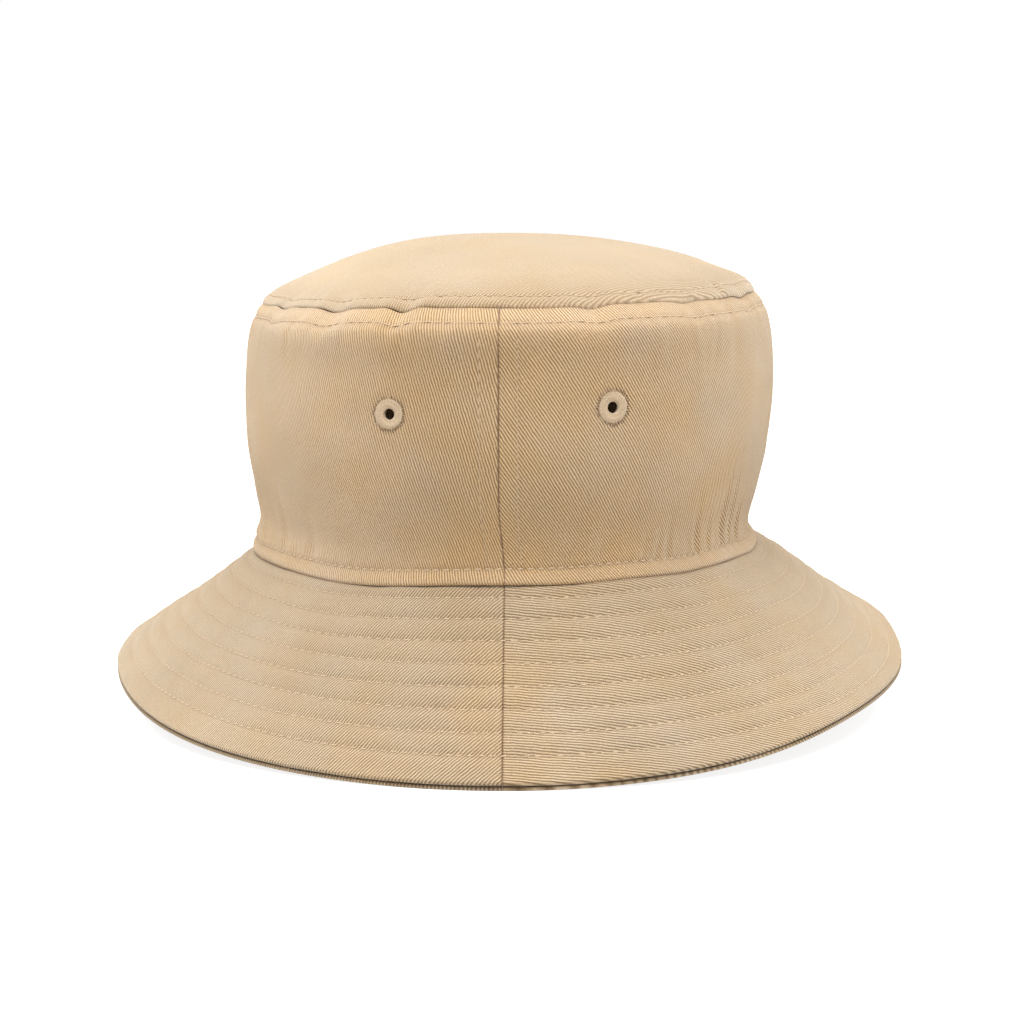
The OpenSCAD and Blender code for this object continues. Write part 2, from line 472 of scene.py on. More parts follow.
@dataclass(frozen=True)
class WovenCloth:
    """A woven cloth whose ribs run along the first direction of the piece's cut."""

    name: str
    rib: Colour
    groove: Colour
    pitch: float = 0.0008
    weave: Weave = Weave.TWILL
    contrast: float = 1.0
    relief: float = 0.00022
    sheen: float = 0.5
    # Colour of the painted shade in seams, grooves, rolled edges and parts turned from the light
    crease: Colour = (0.17, 0.088, 0.034)

    def build(self) -> bpy.types.Material:
        """Makes the material; it reads the Cut map, in metres, and the attribute that says how much painted shade
        each point gets.
        """
        b = Bench(self.name)
        cut = b.add("UVMap", uv_map="Cut").outputs[0]
        place = b.add("TexCoord").outputs["Object"]
        along, across, _ = b.add("SeparateXYZ", {0: cut}).outputs
        drift = b.math("MULTIPLY", b.math("SUBTRACT", b.noise(cut, 40.0), 0.5), 0.0010)
        shiver = b.math("MULTIPLY", b.math("SUBTRACT", b.noise(cut, 420.0), 0.5), 0.00050)
        line = b.math("ADD", across, b.math("ADD", drift, shiver))
        turns = FULL_TURN / self.pitch
        rib = b.math("MULTIPLY_ADD", b.math("SINE", b.math("MULTIPLY", line, turns)), 0.5, 0.5)
        rope = b.math("MULTIPLY", b.math("ADD", along, b.math("MULTIPLY", line, 0.8)), turns * 1.55)
        notch = b.math("MULTIPLY_ADD", b.math("SINE", rope), 0.5, 0.5)
        depth = b.math("MULTIPLY_ADD", notch, self.weave.value, 1.0 - self.weave.value)
        height = b.math("MULTIPLY", b.math("POWER", rib, 0.75), depth)
        patch = b.math("MULTIPLY_ADD", b.noise(cut, 120.0, 3.0), 1.6, -0.3)
        show = b.math("MULTIPLY", b.math("MULTIPLY_ADD", patch, 0.6, 0.7), self.contrast)
        middle = b.math("MULTIPLY_ADD", b.math("SUBTRACT", height, 0.50), show, 0.55)
        yarn = b.math("MULTIPLY_ADD", b.noise(cut, 1500.0, 3.0), 0.6, -0.3)
        level = b.add("Clamp", {0: b.math("ADD", middle, yarn)}).outputs[0]
        woven = b.mix(level, self.groove, self.rib)
        uneven = b.math("MULTIPLY_ADD", b.noise(place, 28.0, 4.0), 0.34, 0.83)
        strong = b.math("MULTIPLY_ADD", b.noise(place, 45.0, 3.0), -0.5, 1.28)
        tinted = b.add("HueSaturation", {"Saturation": strong, "Value": uneven, "Color": woven}).outputs[0]
        # Painted shade: the cloth is mixed towards the shade colour by the attribute's share
        painted_shade_share = b.add("Attribute", attribute_name="Crease").outputs["Fac"]
        colour = b.mix(b.math("MULTIPLY", painted_shade_share, 0.92), tinted, self.crease)
        fluff = b.math("MULTIPLY", b.noise(cut, 2600.0, 2.0), 0.25)
        return b.finish(
            colour, b.math("MULTIPLY_ADD", height, -0.08, 0.95), b.math("ADD", height, fluff), self.relief,
            Sheen_Weight=self.sheen, Sheen_Roughness=0.55, Sheen_Tint=(1.0, 0.92, 0.78, 1.0),
            Specular_IOR_Level=0.15,
        )  # fmt: skip


@dataclass(frozen=True)
class SpunThread:
    """Sewing thread of twisted plies, with painted shade where a stitch dives into the cloth and on its needle
    hole.
    """

    name: str
    ply: Colour
    twist: Colour
    sheen: float = 0.3
    # Colour of the painted shade at the stitch ends and needle holes
    dive: Colour = (0.10, 0.058, 0.03)

    def build(self) -> bpy.types.Material:
        """Makes the material; it reads the Twist map and the attribute of painted shade at each stitch's ends and
        needle hole.
        """
        b = Bench(self.name)
        round_, along, _ = b.add("SeparateXYZ", {0: b.add("UVMap", uv_map="Twist").outputs[0]}).outputs
        spiral = b.math("ADD", b.math("MULTIPLY", round_, 2.0), b.math("MULTIPLY", along, 5.0))
        ridge = b.math("MULTIPLY_ADD", b.math("SINE", b.math("MULTIPLY", spiral, FULL_TURN)), 0.5, 0.5)
        spot = b.noise(b.add("TexCoord").outputs["Object"], 900.0, 3.0)
        wound = b.mix(b.math("MULTIPLY_ADD", ridge, 0.6, b.math("MULTIPLY", spot, 0.4)), self.twist, self.ply)
        # Painted shade: the thread is mixed towards the shade colour at its ends and needle holes
        hole_shade_share = b.add("Attribute", attribute_name="Dive").outputs["Fac"]
        colour = b.mix(hole_shade_share, wound, self.dive)
        return b.finish(
            colour, b.math("MULTIPLY_ADD", spot, 0.2, 0.55), ridge, 0.00006,
            Sheen_Weight=self.sheen, Sheen_Roughness=0.4, Specular_IOR_Level=0.25,
        )  # fmt: skip


@dataclass(frozen=True)
class PressedFelt:
    """Soft white interlining of pressed fibres."""

    name: str
    fibre: Colour
    hollow: Colour

    def build(self) -> bpy.types.Material:
        """Makes the material from clouds of fibres at two sizes."""
        b = Bench(self.name)
        place = b.add("TexCoord").outputs["Object"]
        coarse, fine = b.noise(place, 700.0, 4.0), b.noise(place, 3500.0)
        tuft = b.math("MULTIPLY_ADD", coarse, 0.7, b.math("MULTIPLY", fine, 0.3))
        colour = b.mix(tuft, self.hollow, self.fibre)
        return b.finish(colour, 0.95, tuft, 0.0002, Sheen_Weight=0.3, Sheen_Roughness=0.6, Specular_IOR_Level=0.1)


@dataclass
class Finishes:
    """Every finish of the hat, by the slot that it fills."""

    made: dict[str, bpy.types.Material] = field(default_factory=dict)

    def __post_init__(self) -> None:
        """Builds each finish once."""
        recipes = (
            # The tip, crown and brim are one cloth. The tip's copy is paler, less saturated, lower in contrast
            # and has more sheen: painted highlight for the top in the overhead light. The brim's copy has darker
            # ribs: painted shade that balances the stronger light on the brim.
            WovenCloth("tip_twill", (0.625, 0.466, 0.297), (0.235, 0.163, 0.093), contrast=0.7, sheen=0.6),
            WovenCloth("crown_twill", (0.66, 0.462, 0.268), (0.205, 0.122, 0.056), contrast=1.1),
            WovenCloth("brim_twill", (0.54, 0.405, 0.262), (0.19, 0.125, 0.067), contrast=1.2),
            WovenCloth("band_cotton", (0.56, 0.43, 0.28), (0.40, 0.29, 0.17), 0.0006, Weave.PLAIN),
            WovenCloth("tape_cotton", (0.60, 0.47, 0.32), (0.44, 0.33, 0.21), 0.0005, Weave.PLAIN),
            PressedFelt("interlining", (0.80, 0.79, 0.75), (0.58, 0.57, 0.53)),
            SpunThread("thread", (0.61, 0.460, 0.305), (0.44, 0.315, 0.195)),
            SpunThread("eyelet_thread", (0.70, 0.55, 0.38), (0.46, 0.33, 0.20), 0.4),
        )
        self.made = {recipe.name: recipe.build() for recipe in recipes}

    def dress(self, piece: bpy.types.Object, slot: str, *nodes: str) -> bpy.types.Object:
        """Gives a piece its finish, hangs it on the root, and hides the nodes that it stands for.

        Args:
            piece: The piece.
            slot: The finish's slot.
            nodes: The nodes that the piece stands for.

        Returns:
            The piece.
        """
        piece.data.materials.clear()
        piece.data.materials.append(self.made[slot])
        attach(piece, "root")
        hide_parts(*nodes)
        log.info("%s: %d faces, stands for %s", piece.name, len(piece.data.polygons), ", ".join(nodes))
        return piece


# ---- tools of the workroom ----


def rest_hands() -> None:
    """Deselects everything, so that the next operator works only on what it is given."""
    bpy.ops.object.select_all(action="DESELECT")


def pick(piece: bpy.types.Object) -> None:
    """Selects one piece alone and makes it active."""
    rest_hands()
    piece.select_set(True)
    bpy.context.view_layer.objects.active = piece


def cloth(
    name: str, points: Array, cut: Array, crease: Array, thickness: float,
    ring: bool = False, keep: Array | None = None, inside_out: bool = False,
) -> bpy.types.Object:  # fmt: skip
    """Makes a closed sheet of cloth from a grid of points on its outer face.

    Args:
        name: The piece's name.
        points: The grid of points.
        cut: Where each point lies on the flat cut piece, one column more than points on a ring.
        crease: How much shade is painted on each point, from 0 to 1.
        thickness: Thickness of the cloth, which lies inside the outer face.
        ring: Whether the last column joins the first.
        keep: Which quads are kept, all of them if None.
        inside_out: Whether the grid runs the other way round.

    Returns:
        The piece.
    """
    columns, rows = points.shape[:2]
    i, j = np.arange(columns if ring else columns - 1)[:, None], np.arange(rows - 1)[None, :]
    around = [(i, j), (i + 1, j), (i + 1, j + 1), (i, j + 1)]
    quads = np.stack([(a % columns) * rows + b for a, b in around], -1)
    on_cut = np.stack([a * rows + b for a, b in around], -1)
    chosen = np.ones(quads.shape[:2], bool) if keep is None else keep
    quads, on_cut = quads[chosen], on_cut[chosen]
    if inside_out:
        quads, on_cut = quads[:, ::-1], on_cut[:, ::-1]
    used, quads = np.unique(quads, return_inverse=True)
    quads = quads.reshape(-1, 4)
    mesh = bpy.data.meshes.new(name)
    mesh.from_pydata(points.reshape(-1, 3)[used].tolist(), [], quads.tolist())
    mesh.uv_layers.new(name="Cut").data.foreach_set("uv", cut.reshape(-1, 2)[on_cut].ravel())
    # Painted shade: each point's share of the shade colour, for the cloth's material
    mesh.attributes.new("Crease", "FLOAT", "POINT").data.foreach_set("value", crease.reshape(-1)[used])
    piece = bpy.data.objects.new(name, mesh)
    bpy.context.collection.objects.link(piece)
    wall = piece.modifiers.new("Cloth", "SOLIDIFY")
    wall.thickness, wall.offset = thickness, -1.0
    pick(piece)
    bpy.ops.object.modifier_apply(modifier=wall.name)
    bpy.ops.object.shade_smooth_by_angle(angle=SMOOTH_ANGLE)
    rest_hands()
    return piece


def grid(along: Array, across: Array) -> tuple[Array, Array]:
    """Spreads two lists of grid lines to every crossing of the grid."""
    return np.meshgrid(along, across, indexing="ij")


def turned(cut: Array, degrees: float) -> Array:
    """Turns a flat cut so that the ribs of the cloth cross it at an angle from its first direction."""
    c, s = math.cos(math.radians(degrees)), math.sin(math.radians(degrees))
    return np.stack([c * cut[..., 0] + s * cut[..., 1], c * cut[..., 1] - s * cut[..., 0]], -1)


@dataclass
class StitchKit:
    """One stitch, modelled once, and copied along lines of thread."""

    length: float = 0.0031
    thread: float = 0.00042
    rise: float = 0.00010
    lean: float = 0.06
    sides: int = 6
    hole_drop: float = -0.17

    @cached_property
    def pattern(self) -> tuple[Array, list, list, Array, Array]:
        """The stitch with the needle hole at its end, lying along X from -0.5 to 0.5.

        Returns:
            Points, corners of the faces, twist map of the corners, each point's share of painted hole shade, and
            how far each point drops.
        """
        rest_hands()
        bpy.ops.mesh.primitive_uv_sphere_add(
            segments=self.sides, ring_count=self.sides, radius=0.5, rotation=(0.0, math.pi / 2, 0.0)
        )
        stitch = bpy.context.active_object
        bpy.ops.object.transform_apply(location=False, rotation=True, scale=False)
        mesh = stitch.data
        points = np.array([v.co[:] for v in mesh.vertices])
        swell = np.sqrt(np.clip(1.0 - np.abs(2.0 * points[:, 0]) ** 3.0, 0.0, 1.0))
        ring = np.linalg.norm(points[:, 1:], axis=1, keepdims=True)
        points[:, 1:] *= np.where(ring > 1e-6, swell[:, None] / np.maximum(2.0 * ring, 1e-6), 0.0)
        drop = -1.3 * (2.0 * np.abs(points[:, 0])) ** 5
        # Painted shade where the thread dives into the cloth at both ends
        dive = ease(np.abs(points[:, 0]), 0.36, 0.50)
        faces = [list(p.vertices) for p in mesh.polygons]
        maps = [[tuple(mesh.uv_layers[0].data[k].uv) for k in p.loop_indices] for p in mesh.polygons]
        bpy.data.objects.remove(stitch)
        swing = np.linspace(0.0, FULL_TURN, self.sides, endpoint=False)
        # The needle hole is a small flat dark disc, painted shade for the pit that the thread goes into
        hole = np.stack([0.5 + 0.125 * np.cos(swing), 0.38 * np.sin(swing), np.zeros(self.sides)], -1)
        faces.append(list(range(len(points), len(points) + self.sides)))
        maps.append([(0.0, 0.0)] * self.sides)
        drop = np.append(drop, np.full(self.sides, self.hole_drop))
        return np.concatenate([points, hole]), faces, maps, np.append(dive, np.ones(self.sides)), drop

    def sew(
        self, name: str, ends: Array, out: Array,
        thickness: float = 1.0, tension: float = 1.0, cover: float = 0.84,
    ) -> bpy.types.Object:  # fmt: skip
        """Copies the stitch between needle holes.

        Args:
            name: The piece's name.
            ends: Both ends of every stitch.
            out: Direction out of the cloth at every stitch.
            thickness: How much thicker than the usual thread it is.
            tension: How strongly the shade at the needle holes is painted, from 0 to 1.
            cover: Share of the way between two holes that the thread covers.

        Returns:
            The piece.
        """
        points, faces, maps, dive, drop = self.pattern
        span = ends[:, 1] - ends[:, 0]
        length = np.linalg.norm(span, axis=1, keepdims=True)
        along = span / length
        side = np.cross(out, along)
        along = along + self.lean * side
        width = self.thread * thickness
        reach = points[:, 0] * np.where(np.arange(len(points)) < len(points) - self.sides, cover, 1.0)
        placed = (
            ends.mean(1)[:, None] + reach[None, :, None] * length[:, None] * along[:, None]
            + points[None, :, 1:2] * width * side[:, None]
            + ((points[None, :, 2:] * 0.85 + drop[None, :, None]) * width + self.rise) * out[:, None]
        )  # fmt: skip
        count, size = len(ends), len(points)
        # Painted shade: the stitch ends and needle holes are darkened by the tension, varied a little from stitch
        # to stitch
        slack = np.random.default_rng(count).uniform(-1.0, 1.0, count)
        pull = tension * (1.0 + 0.3 * slack + 0.35 * np.convolve(slack, np.ones(9), "same"))
        depth = np.clip(pull, 0.0, 1.0)[:, None] * dive[None]
        mesh = bpy.data.meshes.new(name)
        mesh.from_pydata(
            placed.reshape(-1, 3).tolist(), [], [[k * size + v for v in f] for k in range(count) for f in faces]
        )
        spun = np.array([c for f in maps for c in f])
        mesh.uv_layers.new(name="Twist").data.foreach_set("uv", np.tile(spun.ravel(), count))
        mesh.attributes.new("Dive", "FLOAT", "POINT").data.foreach_set("value", depth.ravel())
        piece = bpy.data.objects.new(name, mesh)
        bpy.context.collection.objects.link(piece)
        mesh.shade_smooth()
        return piece

    def holes(self, length: float) -> Array:
        """Places of the needle holes along a line of that length, a whole number of stitches."""
        return np.linspace(0.0, length, max(2, round(length / self.length)) + 1)

    def line(
        self, surface: Surface, along: Array, across: Array, depth: float, face: Face
    ) -> tuple[Array, Array]:  # fmt: skip
        """Lays the stitches of one line on a surface.

        Args:
            surface: The surface, from along, across and depth to points; along x across points outwards.
            along: First place of each needle hole on the surface.
            across: Second place of each needle hole.
            depth: How far outside the surface the cloth's face is.
            face: Which side of the cloth the thread lies on.

        Returns:
            The ends of each stitch, and the direction out of the cloth there.
        """
        p = surface(along, across, depth)
        mid_a, mid_b = 0.5 * (along[1:] + along[:-1]), 0.5 * (across[1:] + across[:-1])
        e = 4.0 * NUDGE
        du = surface(mid_a + e, mid_b, depth) - surface(mid_a - e, mid_b, depth)
        dv = surface(mid_a, mid_b + e, depth) - surface(mid_a, mid_b - e, depth)
        out = np.cross(du, dv)
        out *= face.value / np.linalg.norm(out, axis=1, keepdims=True)
        return np.stack([p[:-1], p[1:]], 1), out


# ---- crown ----


@dataclass
class Crown:
    """The two side panels and the tip, with the seams, bands and puckers that sewing gave them."""

    form: HatForm
    band: float = 0.0044
    seam_line: float = 0.005
    eyelet_arc: float = 0.0320
    eyelet_height: float = 0.0493
    eyelet_nearer: float = 0.0018
    eyelet_higher: float = 0.0015
    seam_skew: float = 0.0015
    top_band: float = 0.0039
    grain_left: float = -73.6
    grain_right: float = -56.5
    tip_grain: float = 45.0
    slump_left: float = 0.0026
    lean_right: float = 0.0016
    eyelet_cut: float = 0.0021
    left_swells: tuple[Swell, ...] = (Swell(0.0045, 0.0042, 0.0026), Swell(0.013, 0.010, 0.0007))
    right_swells: tuple[Swell, ...] = (Swell(0.030, 0.020, -0.0017), Swell(0.003, 0.004, 0.0010))
    top_swell: Swell = Swell(0.0712, 0.0080, 0.0026)

    def __post_init__(self) -> None:
        """Settles where the cloth puckers, folds and waves."""
        lap = self.form.lap
        self.base_folds = [
            Pucker(0.0560, 0.0014, 0.009, -0.0007), Pucker(0.0705, 0.0015, 0.013, -0.0009, -0.1),
            Pucker(0.0768, 0.0012, 0.010, -0.0007), Pucker(0.0868, 0.0017, 0.016, -0.0014, -0.05),
            Pucker(0.0935, 0.0013, 0.020, -0.0010, -0.08), Pucker(0.1010, 0.0017, 0.012, -0.0014),
            Pucker(0.0450, 0.0013, 0.007, -0.0005, 0.2), Pucker(0.0505, 0.0012, 0.007, -0.0005, 0.2),
            Pucker(0.0200, 0.0030, 0.018, -0.0004, 0.30), Pucker(0.0300, 0.0030, 0.016, -0.0004, 0.25),
            Pucker(-0.0865, 0.0028, 0.018, -0.0008, 0.04), Pucker(-0.0685, 0.0028, 0.013, -0.0005, 0.05),
            *gather(11, (0.12, 0.27), 13, 0.0026, 0.015, 0.0012),
            *gather(12, (-0.27, -0.11), 12, 0.0026, 0.015, 0.0011),
        ]  # fmt: skip
        self.top_folds = gather(21, (-0.5 * lap, 0.5 * lap), 64, 0.0026, 0.012, 0.00055)
        self.tip_folds = gather(31, (-0.5 * lap, 0.5 * lap), 70, 0.0022, 0.008, 0.00040)
        self.seam_dips = [
            Pucker(-0.0580, 0.0070, 1.0, -0.0011), Pucker(-0.0315, 0.0042, 1.0, -0.0013),
            Pucker(0.0270, 0.0050, 1.0, -0.0008), Pucker(0.0620, 0.0060, 1.0, -0.0006),
            Pucker(-0.0900, 0.0060, 1.0, -0.0008), Pucker(0.1000, 0.0060, 1.0, -0.0008),
        ]
        self.soft = Unevenness(41, 0.034, 0.026, lap)
        self.fine = Unevenness(42, 0.0085, 0.0075, lap)
        self.tiny = Unevenness(43, 0.0036, 0.0036, lap)
        self.waver = Unevenness(44, 0.022, 1.0, lap)
        self.ruck = Unevenness(45, 0.0052, 1.0, lap)
        self.nip = Unevenness(46, 0.0019, 1.0, lap)

    # -- the sides --

    def seam_drop(self, arc: Array) -> Array:
        """How far the top seam dips below its even height."""
        near = self._round(arc)
        dips = sum(p.lift(near, np.zeros_like(near)) for p in self.seam_dips)
        return -dips + 0.00035 * self.waver.at(arc)

    def side_lift(self, arc: Array, height: Array) -> Array:
        """How far sewing and wear move the side cloth outwards.

        Args:
            arc: Distance round the crown from the front seam.
            height: Height over the brim joint.

        Returns:
            The move of each place.
        """
        half, near = 0.5 * self.form.lap, self._round(arc)
        down = self.form.side_height - height
        lift = 0.00080 * self.soft.at(arc, height) + 0.00026 * self.fine.at(arc, height)
        lift += 0.00006 * self.tiny.at(arc, height)
        # Folds run up from the base row, and die out in the band under it
        rise = np.maximum(height - self.band, 0.0)
        lift += sum(p.lift(near, rise) for p in self.base_folds) * ease(height, 0.001, self.band + 0.003)
        # The base band is turned under and stands full, and curls in at the joint
        full = 0.00042 + 0.00020 * self.ruck.at(arc, 0.0)
        lift += full * bell(height - 0.0020, 0.0016) - 0.00045 * bell(height - self.band, 0.0008)
        lift += 0.00026 * self.nip.at(arc, 0.0) * bell(height - self.band - 0.0016, 0.0018)
        lift += 0.0009 * (1.0 - ease(height, 0.0, 0.0062)) - 0.0005 * bell(height, 0.00045)
        # Under the top seam the same, with the cloth drawn into short puckers
        full = 0.00008 + 0.00020 * self.ruck.at(arc + 0.1, 0.0)
        lift += full * bell(down - 0.0021, 0.0015) - 0.00040 * bell(down - self.top_band, 0.0007)
        lift += 0.00014 * self.nip.at(arc + 0.2 + 0.4 * down, 0.0) * bell(down - 0.0025, 0.0030)
        lift -= 0.0001 * bell(down, 0.0003)
        lift += sum(p.lift(near, np.maximum(down - 0.002, 0.0)) for p in self.top_folds) * ease(down, 0.0, 0.003)
        # The front and back seams: a closed gap between two bulky allowances
        for seam in (0.0, half, -half):
            off = np.abs(near - seam)
            lift += 0.00028 * (1.0 - ease(off, 0.0040, 0.0058)) - 0.00022 * bell(off - self.seam_line, 0.0006)
            lift -= (0.00026 + 0.00012 * self.nip.at(height + 0.05, 0.0)) * bell(off, 0.00022)
        # The satin of each eyelet draws the cloth in round itself
        for side, end in ((s, e) for s in Side for e in End):
            at, up = self.eyelet_place(side, end)
            gap = np.hypot(self._round(near - at), height - up)
            lift += -0.00035 * bell(gap, 0.0052) + 0.00012 * bell(gap - 0.0065, 0.0014)
        return lift

    def _round(self, arc: Array) -> Array:
        """The same distance, taken the short way round."""
        return arc - self.form.lap * np.round(arc / self.form.lap)

    def side_point(self, arc: Array, height: Array, depth: Array | float = 0.0) -> Array:
        """Points of the crown side.

        Args:
            arc: Distance round the crown from the front seam.
            height: Height over the brim joint.
            depth: Distance outside the cloth's outer face.

        Returns:
            The points.
        """
        place = arc - self.seam_skew * ease(height, 0.002, 0.024)
        turn = self.form.turn_at(place)
        down, share = self.form.side_height - height, height / self.form.side_height
        off = self.form.side_offset(height) + self.side_lift(arc, height) + depth
        left, right = np.maximum(-np.sin(turn), 0.0) ** 2, np.maximum(np.sin(turn), 0.0) ** 2
        off = sum((swell.at(height, left) for swell in self.left_swells), off)
        off = sum((swell.at(height, right) for swell in self.right_swells), off)
        off = off - self.form.draw_in(turn) * (1.0 - ease(height, 0.0, 0.022))
        # The wall stands proud under the top seam, and its edge turns in at the shoulder
        off = off + self.top_swell.at(height, 1.0 - np.sin(turn) ** 4) * ease(down, 0.0, 0.0062)
        off = off - self.form.shoulder(turn) * np.clip(1.0 - down / 0.0066, 0.0, 1.0) ** 2
        z = self.form.joint_z + height - self.seam_drop(place) * ease(share, 0.72, 1.0)
        z = z + self.form.joint_sway(turn) * (1.0 - ease(height, 0.0, 0.032))
        z = z + self.form.seam_rise(turn) * ease(share, 0.4, 1.0)
        return np.concatenate([self.form.plan(turn, off), z[..., None]], -1)

    def eyelet_place(self, side: Side, end: End) -> tuple[float, float]:
        """Distance round the crown and height of one eyelet."""
        uneven = side is Side.RIGHT and end is End.FRONT
        arc = self.eyelet_arc - (self.eyelet_nearer if uneven else 0.0)
        height = self.eyelet_height + (self.eyelet_higher if uneven else 0.0)
        place = side.value * arc if end is End.FRONT else side.value * (0.5 * self.form.lap - arc)
        return place + self.seam_skew, height

    def side_panel(self, side: Side) -> bpy.types.Object:
        """Makes one side panel, open at its two eyelets."""
        half, top, edge = 0.5 * self.form.lap, self.form.side_height, 0.00003
        arcs = spaced(edge, half - edge, 0.00086, (edge, half - edge), 0.00014)
        arcs = arcs if side is Side.RIGHT else -arcs[::-1]
        heights = spaced(edge, top - edge, 0.00105, (edge, self.band, top - self.top_band, top - edge))
        arc, height = grid(arcs, heights)
        down, off = top - height, np.minimum(np.abs(arc), half - np.abs(arc))
        # Painted shade: a shadow line at the joint, shade in the top, front and back seams and in both rows of
        # topstitching, and a soft darker band under the top seam where the wall leans in towards the light
        crease = 0.75 * bell(height, 0.0005) + (0.32 + 0.35 * self.nip.at(arc, 0.0)) * bell(down, 0.0003)
        crease += (1.0 + 0.75 * self.nip.at(height + 0.05, 0.0)) * bell(off, 0.00025)
        crease += 0.22 * bell(height - self.band, 0.0006) + 0.30 * bell(down - self.top_band - 0.0003, 0.0006)
        crease += 0.12 * bell(down - 0.0085, 0.0060)
        middle_a, middle_h = 0.5 * (arcs[1:] + arcs[:-1]), 0.5 * (heights[1:] + heights[:-1])
        keep = np.ones((len(arcs) - 1, len(heights) - 1), bool)
        for end in End:
            at, up = self.eyelet_place(side, end)
            keep &= np.hypot((middle_a - at)[:, None], (middle_h - up)[None, :]) > self.eyelet_cut
        grain = self.grain_left if side is Side.LEFT else self.grain_right
        cut = turned(np.stack([arc * 1.03, height], -1), grain)
        return cloth(
            f"side_panel_{side.name.lower()}", self.side_point(arc, height), cut, np.clip(crease, 0.0, 1.0),
            self.form.twill, keep=keep,
        )  # fmt: skip

    # -- the tip --

    @cached_property
    def _tip_run(self) -> tuple[Array, Array]:
        """Shares of the tip's radius from the edge to the middle, and the distance over the cloth to each."""
        r = 1.0 - np.linspace(0.0, 1.0, 4001) ** 2.0
        reach = 0.5 * (self.form.half_width + self.form.half_length) - self.form.top_in
        run = np.hypot(np.diff(r) * reach, np.diff(self.form.dome(r)))
        return r, np.concatenate([[0.0], np.cumsum(run)])

    def tip_point(self, arc: Array, away: Array, depth: Array | float = 0.0) -> Array:
        """Points of the tip.

        Args:
            arc: Distance round the top seam from the front.
            away: Distance over the cloth from the top seam.
            depth: Distance outside the cloth's outer face.

        Returns:
            The points.
        """
        shares, run = self._tip_run
        turn, r = self.form.turn_at(arc), np.interp(away, run, shares)
        point = self._dome_point(turn, r)
        inner, outer = np.maximum(r - NUDGE, 0.0), np.minimum(r + NUDGE, 1.0)
        du = self._dome_point(turn + NUDGE, r) - self._dome_point(turn - NUDGE, r)
        dv = self._dome_point(turn, inner) - self._dome_point(turn, outer)
        normal, nothing = np.cross(du, dv), 1e-14
        size = np.linalg.norm(normal, axis=-1, keepdims=True)
        normal = np.where(size > nothing, normal / np.maximum(size, nothing), (0.0, 0.0, 1.0))
        point = point + (self.tip_lift(arc, away, point) + depth)[..., None] * normal
        point[..., 2] += self.form.seam_rise(turn) * bell(away, 0.012) - self.seam_drop(arc) * bell(away, 0.007)
        return point

    def _dome_point(self, turn: Array, r: Array) -> Array:
        """Points of the plain dome."""
        xy = r[..., None] * self.form.plan(turn, -0.0001 - self.form.top_in - self.form.shoulder(turn))
        x = xy[..., 0]
        lean = self.lean_right * bell(x - 0.072, 0.024) - self.slump_left * bell(x + 0.066, 0.026)
        z = self.form.joint_z + self.form.side_height + self.form.dome(r) + lean * (1.0 - r**14)
        return np.concatenate([xy, z[..., None]], -1)

    def tip_lift(self, arc: Array, away: Array, place: Array) -> Array:
        """How far sewing and wear move the tip cloth outwards.

        Args:
            arc: Distance round the top seam from the front.
            away: Distance over the cloth from the top seam.
            place: The point itself, for what doesn't follow the seam.

        Returns:
            The move of each place.
        """
        near = self._round(arc)
        lift = 0.00055 * self.soft.at(place[..., 0] + 0.4, place[..., 1] + 0.4)
        lift += 0.00012 * self.fine.at(place[..., 0] + 0.2, place[..., 1] + 0.2) * bell(away, 0.03)
        full = 0.00002 + 0.00026 * self.ruck.at(arc + 0.2, 0.0)
        lift += full * bell(away - 0.0022, 0.0018) - 0.00026 * bell(away - self.band, 0.0008)
        lift += 0.00010 * self.nip.at(arc + 0.3 + 0.7 * away, 0.0) * bell(away - 0.0028, 0.0030)
        lift -= 0.0001 * bell(away, 0.0003)
        lift += sum(p.lift(near, np.maximum(away - 0.001, 0.0)) for p in self.tip_folds) * ease(away, 0.0, 0.003)
        return lift

    def tip(self, rings: int = 99) -> bpy.types.Object:
        """Makes the tip on a square grid drawn into an oval, whose rings follow the seam.

        Args:
            rings: Rings of quads from the middle to the seam.

        Returns:
            The piece.
        """
        shares, run = self._tip_run
        dense = 1.0 + 1.5 * bell(run, 0.011)
        count = np.concatenate([[0.0], np.cumsum(np.diff(run) * 0.5 * (dense[1:] + dense[:-1]))])
        ring_away = np.interp(np.linspace(1.0, 0.0, rings + 1) * count[-1], count, run)
        k = np.arange(-rings, rings + 1)
        a, b = grid(k, k)
        ring = np.maximum(np.abs(a), np.abs(b))
        steep = np.abs(b) > np.abs(a)
        big, small = np.where(steep, b, a), np.where(steep, a, b)
        swing = math.pi / 4 * small / np.where(big == 0, 1, big)
        angle = np.where(steep, math.pi / 2 - swing, swing) + np.where(big < 0, math.pi, 0.0)
        arc, away = self.form.arc_at(angle + math.pi / 2), ring_away[ring]
        points = self.tip_point(arc, away)
        cut = turned(np.stack([points[..., 0], points[..., 1]], -1) * 1.04, self.tip_grain)
        # Painted shade in the top seam, and darker towards the seam where the dome turns down from the overhead
        # light
        crease = np.clip(0.2 * bell(away, 0.00025) + 0.26 * (1.0 - ease(away, 0.003, 0.022)), 0.0, 1.0)
        return cloth("tip_cloth", points, cut, crease, self.form.twill)


# ---- brim ----


